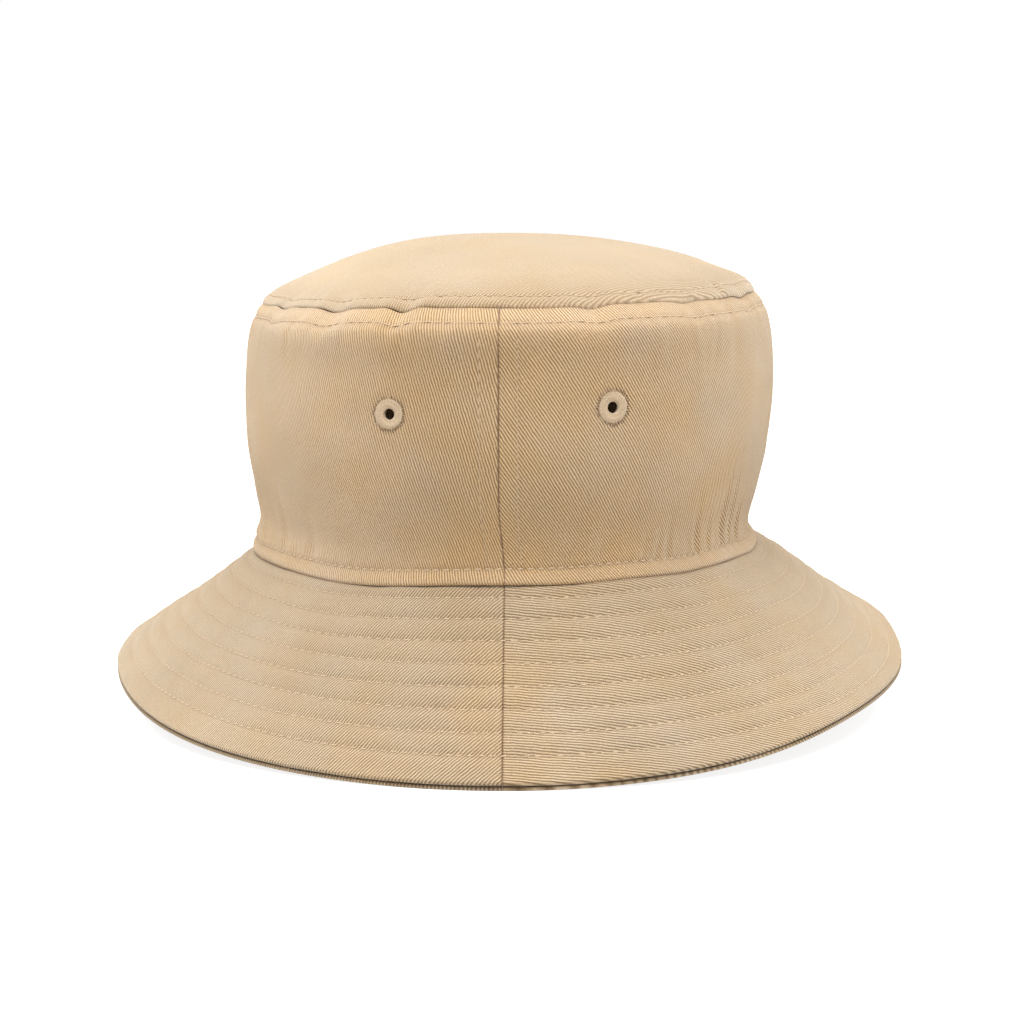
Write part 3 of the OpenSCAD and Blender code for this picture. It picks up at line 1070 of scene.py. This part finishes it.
@dataclass
class Brim:
    """The quilted brim: two upper halves, two lower halves, and the interlining between them."""

    form: HatForm
    rows: int = 8
    first_row: float = 0.004
    row_pitch: float = 0.0068
    puff: float = 0.00052
    lining_edge: float = 0.002
    lining: float = 0.0005
    pattern_radius: float = 0.135
    grain_left: float = 44.0
    grain_right: float = -3.0
    wander_by: float = 0.00034
    upper_roll: float = 0.00085
    upper_short: float = 0.0004
    lower_roll: float = 0.0011
    lower_long: float = 0.0006
    roll_turn: float = 105.0

    def __post_init__(self) -> None:
        """Settles how the rows wander and the cloth between them ripples."""
        lap = self.form.lap
        self.wander = Unevenness(51, 0.026, 0.012, lap)
        self.uneven = Unevenness(52, 0.0090, 0.0068, lap)
        self.ripple = Unevenness(53, 0.0034, 0.0048, lap)
        self.under_ripple = Unevenness(54, 0.0036, 0.0050, lap)
        self.soft = Unevenness(55, 0.045, 0.040, lap)
        self.edge_rucks = Unevenness(56, 0.0042, 1.0, lap)

    def row_place(self, row: int, arc: Array) -> Array:
        """Distance of a row of stitching from the joint."""
        even = self.first_row + row * self.row_pitch
        return even + self.wander_by * self.wander.at(arc, even)

    def _quilting(self, arc: Array, out: Array) -> tuple[Array, Array]:
        """Distance to the nearest row, and how full the cloth stands there, from 0 on a row to 1."""
        place = out - self.wander_by * self.wander.at(arc, out)
        row = np.clip(np.round((place - self.first_row) / self.row_pitch), 0, self.rows - 1)
        gap = np.abs(place - self.first_row - row * self.row_pitch)
        return gap, 1.0 - (1.0 - np.clip(2.0 * gap / self.row_pitch, 0.0, 1.0)) ** 2.4

    def _seam_off(self, arc: Array) -> Array:
        """Distance to the nearest of the front and back seams, along the joint."""
        half = 0.5 * self.form.lap
        near = np.abs(arc - self.form.lap * np.round(arc / self.form.lap))
        return np.minimum(near, half - near)

    def upper_lift(self, arc: Array, out: Array) -> Array:
        """How far the upper cloth stands over the plain surface.

        Args:
            arc: Distance round the joint from the front seam.
            out: Distance from the joint along the slope.

        Returns:
            The move of each place.
        """
        _, full = self._quilting(arc, out)
        left = self.form.brim_width(self.form.turn_at(arc)) - out
        spread = arc * (1.0 + out / self.pattern_radius)
        lift = self.puff * full * (1.0 + 0.45 * self.uneven.at(spread, out))
        lift += 0.00013 * self.ripple.at(spread, out) * (0.35 + 0.65 * full)
        lift += 0.00016 * self.edge_rucks.at(spread + 0.3, 0.0) * bell(left - 0.0095, 0.0035)
        lift -= 0.0005 * bell(out, 0.0005)
        off = self._seam_off(arc)
        lift += 0.00022 * (1.0 - ease(off, 0.0030, 0.0046)) - 0.00026 * bell(off, 0.00020)
        return lift

    def sway(self, arc: Array, out: Array) -> Array:
        """How far the whole brim sways up and down, which its layers share."""
        return 0.0005 * self.soft.at(arc, out) * ease(out, 0.010, 0.030)

    def upper_point(self, arc: Array, out: Array, depth: Array | float = 0.0) -> Array:
        """Points of the upper face.

        Args:
            arc: Distance round the joint from the front seam.
            out: Distance from the joint along the slope.
            depth: Distance above the cloth's face.

        Returns:
            The points.
        """
        lift = self.upper_lift(arc, out) + self.sway(arc, out) + depth
        return self.form.brim_point(self.form.turn_at(arc), out, lift)

    def lower_point(self, arc: Array, out: Array, depth: Array | float = 0.0) -> Array:
        """Points of the lower face.

        Args:
            arc: Distance round the joint from the front seam.
            out: Distance from the joint along the slope.
            depth: Distance above the lower face, below it if negative.

        Returns:
            The points.
        """
        _, full = self._quilting(arc, out)
        spread = arc * (1.0 + out / self.pattern_radius)
        ends = ease(out, 0.0, 0.006) * ease(self.form.brim_width(self.form.turn_at(arc)) - out, 0.0, 0.003)
        sink = (0.00018 * full + 0.00006 * self.under_ripple.at(spread, out)) * ends
        level = depth - self.form.brim_thickness - sink + self.sway(arc, out)
        return self.form.brim_point(self.form.turn_at(arc), out, level)

    def _half(self, side: Side, step: float) -> Array:
        """Grid lines along one half, close together at its seams."""
        half, edge = 0.5 * self.form.lap, 0.00002
        arcs = spaced(edge, half - edge, step, (edge, half - edge), 0.00013)
        return arcs if side is Side.RIGHT else -arcs[::-1]

    def _cut(self, arc: Array, out: Array, side: Side) -> Array:
        """Where points lie on the flat cut of a half, which is part of a ring."""
        reach, angle = self.pattern_radius + out, arc / self.pattern_radius
        flat = np.stack([reach * np.sin(angle), -reach * np.cos(angle)], -1)
        return turned(flat, self.grain_left if side is Side.LEFT else self.grain_right)

    def _rolled(self, arc: Array, share: Array, roll: float, short: float) -> tuple[Array, Array]:
        """Runs a grid to the rim and round its edge.

        Args:
            arc: Distance round the joint.
            share: 0 at the joint, 1 where the roll starts, 2 at its end.
            roll: Radius of the roll.
            short: How far it stops short of the full width.

        Returns:
            Distance from the joint, and how far the edge has turned under.
        """
        width = self.form.brim_width(self.form.turn_at(arc)) - short
        swing = np.clip(share - 1.0, 0.0, 1.0) * math.radians(self.roll_turn)
        out = np.minimum(share, 1.0) * (width - roll) + roll * np.sin(swing)
        return out, roll * (1.0 - np.cos(swing))

    def _shares(self, step: float) -> Array:
        """Grid lines across the brim, from the joint round the edge."""
        width = self.form.brim_front
        rows = [self.first_row + n * self.row_pitch for n in range(self.rows)]
        lines = spaced(0.0, width, step, (0.0, *rows, width), 0.00045) / width
        return np.concatenate([lines, 1.0 + np.linspace(0.0, 1.0, 7)[1:]])

    def upper_half(self, side: Side) -> bpy.types.Object:
        """Makes one upper half, whose outer edge turns down into the rim seam."""
        arc, share = grid(self._half(side, 0.00064), self._shares(0.00115))
        out, turned_under = self._rolled(arc, share, self.upper_roll, self.upper_short)
        points = self.upper_point(arc, out, -turned_under)
        gap, _ = self._quilting(arc, out)
        # Painted shade: a shadow line at the joint, shade in the front and back seams and along the quilting
        # rows, and where the edge turns down into the rim
        crease = bell(out, 0.0005) + bell(self._seam_off(arc), 0.00022)
        crease += 0.12 * bell(gap, 0.0005) + 0.20 * ease(share, 1.85, 2.0)
        name = f"brim_upper_{side.name.lower()}_cloth"
        cut = self._cut(arc, out, side)
        return cloth(name, points, cut, np.clip(crease, 0.0, 1.0), self.form.twill, inside_out=True)

    def lower_half(self, side: Side) -> bpy.types.Object:
        """Makes one lower half, whose outer edge turns up and shows as a roll along the rim."""
        arc, share = grid(self._half(side, 0.00082), self._shares(0.0013))
        out, turned_up = self._rolled(arc, share, self.lower_roll, -self.lower_long)
        points = self.lower_point(arc, out, turned_up)
        # Painted shade in the front and back seams and where the rim edge turns up
        crease = 0.4 * bell(self._seam_off(arc), 0.0003) + 0.10 * ease(share, 1.9, 2.0)
        name = f"brim_lower_{side.name.lower()}_cloth"
        cut = self._cut(arc, out, side)
        return cloth(name, points, cut, np.clip(crease, 0.0, 1.0), self.form.twill)

    def interlining_half(self, side: Side) -> bpy.types.Object:
        """Makes one half of the interlining, which follows the cloth above it."""
        arc, share = grid(self._half(side, 0.003), np.linspace(0.0, 1.0, 34))
        width = self.form.brim_width(self.form.turn_at(arc))
        out = self.lining_edge + share * (width - 2.0 * self.lining_edge)
        depth = -self.form.twill - 0.0001
        points = self.form.brim_point(self.form.turn_at(arc), out, self.sway(arc, out) + depth)
        name = f"brim_interlining_{side.name.lower()}_felt"
        return cloth(name, points, self._cut(arc, out, side), np.zeros_like(arc), self.lining, inside_out=True)


# ---- the inside of the crown ----


@dataclass
class Inside:
    """The sweatband round the head opening, and the tapes over the seams."""

    crown: Crown
    band_top: float = 0.030
    band_low: float = 0.001
    band: float = 0.0009
    tape: float = 0.0005
    tape_width: float = 0.013
    gap: float = 0.0001

    def _strip(self, name: str, arcs: Array, heights: Array, layer: float, ring: bool) -> bpy.types.Object:
        """Makes a strip that lies against the inside of the crown.

        Args:
            name: The piece's name.
            arcs: Grid lines along it.
            heights: Grid lines across it.
            layer: Its thickness.
            ring: Whether it goes all the way round.

        Returns:
            The piece.
        """
        arc, height = grid(arcs, heights)
        depth = -self.crown.form.twill - self.gap
        laid = arc[:-1], height[:-1]
        points = self.crown.side_point(*(laid if ring else (arc, height)), depth)
        cut = np.stack([arc, height], -1)
        crease = np.zeros(points.shape[:2])
        return cloth(name, points, cut, crease, layer, ring=ring)

    def sweatband(self) -> bpy.types.Object:
        """Makes the sweatband."""
        half = 0.5 * self.crown.form.lap
        heights = spaced(self.band_low, self.band_top, 0.0012, (self.band_low, self.band_top))
        return self._strip("sweatband_cloth", np.linspace(-half, half, 361), heights, self.band, True)

    def tip_tape(self) -> bpy.types.Object:
        """Makes the tape over the top seam."""
        half, top = 0.5 * self.crown.form.lap, self.crown.form.side_height
        heights = np.linspace(top - 0.012, top - 0.003, 9)
        return self._strip("tip_tape_cloth", np.linspace(-half, half, 361), heights, self.tape, True)

    def seam_tape(self, end: End) -> bpy.types.Object:
        """Makes the tape over the front or the back seam."""
        middle = 0.0 if end is End.FRONT else 0.5 * self.crown.form.lap
        arcs = middle + np.linspace(-0.5, 0.5, 17) * self.tape_width
        heights = np.linspace(self.band_top + 0.001, self.crown.form.side_height - 0.013, 41)
        return self._strip(f"{end.name.lower()}_tape_cloth", arcs, heights, self.tape, False)


# ---- eyelets ----


@dataclass
class Eyelet:
    """A round vent hole bound with satin stitches over a padded ring."""

    crown: Crown
    kit: StitchKit
    outer: float = 0.0046
    hole: float = 0.00155
    threads: int = 42
    proud: float = 0.00055
    seed: int = 60

    def build(self, side: Side, end: End) -> bpy.types.Object:
        """Makes one eyelet, with satin on both faces and a bound edge through the cloth.

        Args:
            side: The half of the hat that it is in.
            end: Front or back.

        Returns:
            The piece.
        """
        arc, height = self.crown.eyelet_place(side, end)
        rng = np.random.default_rng(self.seed + side.value + end.value)
        ends, outs = [], []
        for face in Face:
            skin = self.proud * 0.35 if face is Face.NEEDLE else -self.crown.form.twill - self.proud * 0.35
            swing = np.linspace(0.0, FULL_TURN, self.threads, endpoint=False)
            swing = swing + rng.uniform(-0.02, 0.02, self.threads)
            far = self.outer * (1.0 + rng.uniform(-0.05, 0.05, self.threads)) * (1.0 + 0.05 * np.sin(swing) ** 2)
            near = np.full(self.threads, self.hole * 0.90)
            pair = [self._place(arc, height, r, swing, skin) for r in (near, far)]
            ends.append(np.stack(pair, 1))
            outs.append(np.repeat(self._out(arc)[None] * face.value, self.threads, 0))
        name = f"eyelet_{end.name.lower()}_{side.name.lower()}_satin"
        piece = self.kit.sew(name, np.concatenate(ends), np.concatenate(outs), 0.88, 1.2, 0.90)
        collar = self._collar(arc, height)
        pick(piece)
        collar.select_set(True)
        bpy.context.view_layer.objects.active = piece
        bpy.ops.object.join()
        rest_hands()
        return piece

    def _out(self, arc: float) -> Array:
        """Direction out of the crown at the eyelet."""
        return np.append(self.crown.form.outward(self.crown.form.turn_at(np.array(arc))), 0.0)

    def _place(self, arc: float, height: float, radius: Array, swing: Array, depth: float) -> Array:
        """Points round the eyelet at a distance from its middle, on the crown."""
        return self.crown.side_point(arc + radius * np.cos(swing), height + radius * np.sin(swing), depth)

    def _collar(self, arc: float, height: float) -> bpy.types.Object:
        """Makes the padded ring under the satin and the bound wall of the hole.

        Args:
            arc: Distance of the eyelet round the crown.
            height: Its height over the joint.

        Returns:
            The ring.
        """
        rest_hands()
        middle, half_width, under = 0.5 * (self.hole + self.outer), 0.5 * (self.outer - self.hole), 0.0001
        bpy.ops.mesh.primitive_torus_add(
            major_radius=middle - under, minor_radius=half_width - under, major_segments=48, minor_segments=12
        )
        ring = bpy.context.active_object
        mesh = ring.data
        local = np.array([v.co[:] for v in mesh.vertices])
        flat = (local[:, 2] / half_width) * 0.00035
        flat += np.where(local[:, 2] > 0, 0.0, -self.crown.form.twill) + 0.00005
        swing, radius = np.arctan2(local[:, 1], local[:, 0]), np.hypot(local[:, 0], local[:, 1])
        placed = self._place(arc, height, radius, swing, 0.0) + flat[:, None] * self._out(arc)[None]
        mesh.vertices.foreach_set("co", placed.ravel())
        mesh.uv_layers[0].name = "Twist"
        # Painted shade: the padded ring takes a quarter of the thread's shade colour, so it shows darker between
        # the satin threads
        mesh.attributes.new("Dive", "FLOAT", "POINT").data.foreach_set("value", np.full(len(local), 0.25))
        pick(ring)
        bpy.ops.object.mode_set(mode="EDIT")
        bpy.ops.mesh.select_all(action="SELECT")
        bpy.ops.mesh.normals_make_consistent(inside=False)
        bpy.ops.object.mode_set(mode="OBJECT")
        ring.location = (0.0, 0.0, 0.0)
        mesh.shade_smooth()
        return ring


# ---- lines of thread ----


@dataclass
class Sewing:
    """Every line of thread on the hat."""

    crown: Crown
    brim: Brim
    inside: Inside
    kit: StitchKit
    waver: float = 0.00018
    seam_waver: float = 0.00015

    def _join(self, name: str, lines: Sequence[tuple[Array, Array]], **feel: float) -> bpy.types.Object:
        """Sews several lines as one piece, with the thickness, tension and cover given."""
        ends, outs = zip(*lines, strict=True)
        return self.kit.sew(name, np.concatenate(ends), np.concatenate(outs), **feel)

    def round_side(
        self, name: str, height: float, outside: bool, inner: float, **feel: float
    ) -> bpy.types.Object:  # fmt: skip
        """Sews a line round the crown side.

        Args:
            name: The piece's name.
            height: Height of the line over the joint.
            outside: Whether the line shows on the outer face as well.
            inner: Thickness of what lies behind the crown cloth there.
            feel: Thickness, tension and cover of the stitches.

        Returns:
            The piece.
        """
        arcs = self.kit.holes(self.crown.form.lap) - 0.5 * self.crown.form.lap
        heights = height + self.waver * self.crown.waver.at(arcs + height)
        surface = self.crown.side_point
        lines = [self.kit.line(surface, arcs, heights, -self.crown.form.twill - inner, Face.BOBBIN)]
        if outside:
            lines.append(self.kit.line(surface, arcs, heights, 0.0, Face.NEEDLE))
        return self._join(name, lines, **feel)

    def round_tip(self) -> bpy.types.Object:
        """Sews the line on the tip, just over the top seam."""
        arcs = self.kit.holes(self.crown.form.lap) - 0.5 * self.crown.form.lap
        away = np.full_like(arcs, self.crown.band) + self.waver * self.crown.waver.at(arcs + 0.3)
        return self._join("tip_line_thread", [
            self.kit.line(self.crown.tip_point, arcs, away, 0.0, Face.NEEDLE),
            self.kit.line(self.crown.tip_point, arcs, away, -self.crown.form.twill, Face.BOBBIN),
        ], thickness=1.0, tension=0.5)  # fmt: skip

    def beside_seam(self, end: End) -> bpy.types.Object:
        """Sews the two lines beside the front or the back seam."""
        middle = 0.0 if end is End.FRONT else 0.5 * self.crown.form.lap
        bottom, top = self.crown.band + 0.0012, self.crown.form.side_height - self.crown.top_band - 0.0008
        heights = bottom + self.kit.holes(top - bottom)
        depth = -self.crown.form.twill - self.inside.gap - self.inside.tape
        lines = []
        for side in Side:
            arcs = np.full_like(heights, middle + side.value * self.crown.seam_line)
            arcs = arcs + self.seam_waver * self.crown.waver.at(heights + side.value)
            lines.append(self.kit.line(self.crown.side_point, arcs, heights, 0.0, Face.NEEDLE))
            lines.append(self.kit.line(self.crown.side_point, arcs, heights, depth, Face.BOBBIN))
        return self._join(f"{end.name.lower()}_seam_thread", lines, thickness=0.65, tension=0.35, cover=0.95)

    def brim_row(self, row: int) -> bpy.types.Object:
        """Sews one row of the brim through all its layers.

        Args:
            row: The row, counted from 0 at the joint.

        Returns:
            The piece.
        """
        form = self.crown.form
        even = self.brim.first_row + row * self.brim.row_pitch
        arcs = np.linspace(-0.5 * form.lap, 0.5 * form.lap, 1441)
        path = form.brim_point(form.turn_at(arcs), np.full_like(arcs, even), 0.0)
        run = np.concatenate([[0.0], np.cumsum(np.linalg.norm(np.diff(path, axis=0), axis=1))])
        arcs = np.interp(self.kit.holes(run[-1]), run, arcs)
        places = self.brim.row_place(row, arcs)

        def upper(a: Array, b: Array, depth: float) -> Array:
            """The upper face, turned so that along x across points outwards."""
            return self.brim.upper_point(a, -b, depth)

        def lower(a: Array, b: Array, depth: float) -> Array:
            """The lower face, turned the same way."""
            return self.brim.lower_point(a, -b, depth)

        return self._join(f"row_{row + 1}_thread", [
            self.kit.line(upper, arcs, -places, 0.0, Face.NEEDLE),
            self.kit.line(lower, arcs, -places, 0.0, Face.BOBBIN),
        ], thickness=1.1, tension=1.3)  # fmt: skip


# ---- the studio ----


@dataclass
class Studio:
    """White floor, soft light and the camera."""

    floor_z: float
    distance: float = 0.80
    eye_height: float = 0.152
    yaw: float = 0.9
    pitch: float = 6.48
    lens: float = 87.2
    sky: float = 0.45
    overhead: float = 5.5
    glow: float = 0.84
    spill: float = 0.32
    spill_from: float = 0.116
    sensor: float = 36.0
    shift: float = 2.0 / 1024.0
    aim: float = 0.08

    def camera(self) -> None:
        """Sets the camera in front of the hat and a little above its middle."""
        data = bpy.data.cameras.new("Camera")
        data.lens, data.sensor_width, data.shift_x = self.lens, self.sensor, self.shift
        camera = bpy.data.objects.new("Camera", data)
        turn = math.radians(self.yaw)
        camera.location = (self.distance * math.sin(turn), -self.distance * math.cos(turn), self.eye_height)
        camera.rotation_euler = (math.radians(90.0 - self.pitch), 0.0, turn)
        bpy.context.collection.objects.link(camera)
        bpy.context.scene.camera = camera

    def lights(self) -> None:
        """Hangs a broad overhead light and soft lights at both sides, in a pale room."""
        self._sun("Overhead", self.overhead, 75.0, (math.radians(8.0), math.radians(-2.0), 0.0))
        self._panel("Left", (-1.15, 0.05, 0.55), 3.0, 0.9)
        self._panel("Right", (1.15, 0.05, 0.55), 3.4, 0.9)
        world = bpy.data.worlds.new("Room")
        bpy.context.scene.world = world
        world.use_nodes = True
        tree = world.node_tree
        tree.nodes.clear()
        out = tree.nodes.new("ShaderNodeOutputWorld")
        mix = tree.nodes.new("ShaderNodeMixShader")
        seen = tree.nodes.new("ShaderNodeLightPath")
        lit, wall = (tree.nodes.new("ShaderNodeBackground") for _ in range(2))
        lit.inputs["Color"].default_value = (1.0, 0.99, 0.975, 1.0)
        lit.inputs["Strength"].default_value = self.sky
        wall.inputs["Color"].default_value = (1.0, 1.0, 1.0, 1.0)
        tree.links.new(seen.outputs["Is Camera Ray"], mix.inputs[0])
        tree.links.new(lit.outputs[0], mix.inputs[1])
        tree.links.new(wall.outputs[0], mix.inputs[2])
        tree.links.new(mix.outputs[0], out.inputs[0])
        bpy.context.scene.view_settings.view_transform = "Standard"

    def _sun(self, name: str, strength: float, spread: float, turn: tuple[float, float, float]) -> None:
        """Adds a very soft sun."""
        data = bpy.data.lights.new(name, "SUN")
        data.energy, data.angle = strength, math.radians(spread)
        lamp = bpy.data.objects.new(name, data)
        lamp.rotation_euler = turn
        bpy.context.collection.objects.link(lamp)

    def _panel(self, name: str, place: tuple[float, float, float], power: float, size: float) -> None:
        """Adds a square panel that faces the hat."""
        data = bpy.data.lights.new(name, "AREA")
        data.energy, data.size = power, size
        lamp = bpy.data.objects.new(name, data)
        lamp.location = place
        towards = Vector((0.0, 0.0, self.aim)) - Vector(place)
        lamp.rotation_euler = towards.to_track_quat("-Z", "Y").to_euler()
        bpy.context.collection.objects.link(lamp)

    def floor(self) -> None:
        """Lays the floor, a pale matt board with a faint tooth."""
        rest_hands()
        bpy.ops.mesh.primitive_plane_add(size=24.0, location=(0.0, 0.0, self.floor_z))
        board = bpy.context.active_object
        board.name = "floor"
        bpy.ops.object.transform_apply(location=True, rotation=True, scale=True)
        b = Bench("floor_board")
        place = b.add("TexCoord").outputs["Object"]
        tooth = b.noise(place, 160.0, 3.0)
        colour = b.mix(tooth, (0.42, 0.42, 0.42), (0.44, 0.44, 0.44))
        reach = b.add("VectorMath", {0: place}, operation="LENGTH").outputs["Value"]
        spill = b.math("MULTIPLY", b.math("GREATER_THAN", reach, self.spill_from), self.spill)
        seen = b.add("LightPath").outputs["Is Camera Ray"]
        glow = b.math("MAXIMUM", b.math("MULTIPLY", seen, self.glow), spill)
        board.data.materials.append(b.finish(
            colour, 0.9, tooth, 0.00002, Specular_IOR_Level=0.0,
            Emission_Color=(1.0, 1.0, 1.0, 1.0), Emission_Strength=glow,
        ))  # fmt: skip
        board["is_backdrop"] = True
        rest_hands()


def main() -> None:
    """Builds the hat piece by piece on its frame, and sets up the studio."""
    logging.basicConfig(level=logging.INFO, format="%(message)s")
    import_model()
    frame_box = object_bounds()
    form = HatForm(joint_z=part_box("crown_side_left")[0].z - 0.00015)
    studio = Studio(floor_z=frame_box[0].z - 0.0001)
    studio.camera()
    rest_hands()
    finishes = Finishes()
    crown, brim = Crown(form), Brim(form)
    inside, kit = Inside(crown), StitchKit()
    half_lap = 0.5 * form.lap

    finishes.dress(tip := crown.tip(), "tip_twill", "crown_tip")
    for side in Side:
        word = side.name.lower()
        finishes.dress(panel := crown.side_panel(side), "crown_twill", f"crown_side_{word}")
        finishes.dress(upper := brim.upper_half(side), "brim_twill", f"brim_upper_{word}")
        finishes.dress(lower := brim.lower_half(side), "brim_twill", f"brim_under_{word}")
        finishes.dress(felt := brim.interlining_half(side), "interlining", f"brim_interlining_{word}")
    finishes.dress(band := inside.sweatband(), "band_cotton", "sweatband")
    form.lap
    finishes.dress(tape := inside.tip_tape(), "tape_cotton", "tip_seam_tape")
    form.lap
    eyelet = Eyelet(crown, kit)
    sewing = Sewing(crown, brim, inside, kit)
    for end in End:
        word = end.name.lower()
        finishes.dress(tape := inside.seam_tape(end), "tape_cotton", f"{word}_seam_tape")
        for side in Side:
            node = f"eyelet_{word}_{side.name.lower()}"
            finishes.dress(eyelet.build(side, end), "eyelet_thread", node)
        finishes.dress(sewing.beside_seam(end), "thread", f"{word}_seam_topstitch")
    top = form.side_height
    tape_layer, band_layer = inside.gap + inside.tape, inside.gap + inside.band
    finishes.dress(sewing.round_tip(), "thread", "tip_topstitch")
    line = sewing.round_side(
        "side_line_thread", top - crown.top_band, True, tape_layer, thickness=1.1, tension=0.1, cover=1.06
    )
    finishes.dress(line, "thread", "side_topstitch")
    line = sewing.round_side(
        "base_line_thread", crown.band, True, band_layer, thickness=1.35, tension=1.3, cover=0.8
    )
    finishes.dress(line, "thread", "base_topstitch")
    line = sewing.round_side("sweatband_edge_thread", inside.band_top - 0.0025, False, band_layer)
    finishes.dress(line, "thread", "sweatband_stitch")
    for row in range(brim.rows):
        finishes.dress(sewing.brim_row(row), "thread", f"brim_row_{row + 1}")

    studio.floor()
    studio.lights()


if __name__ == "__main__":
    main()
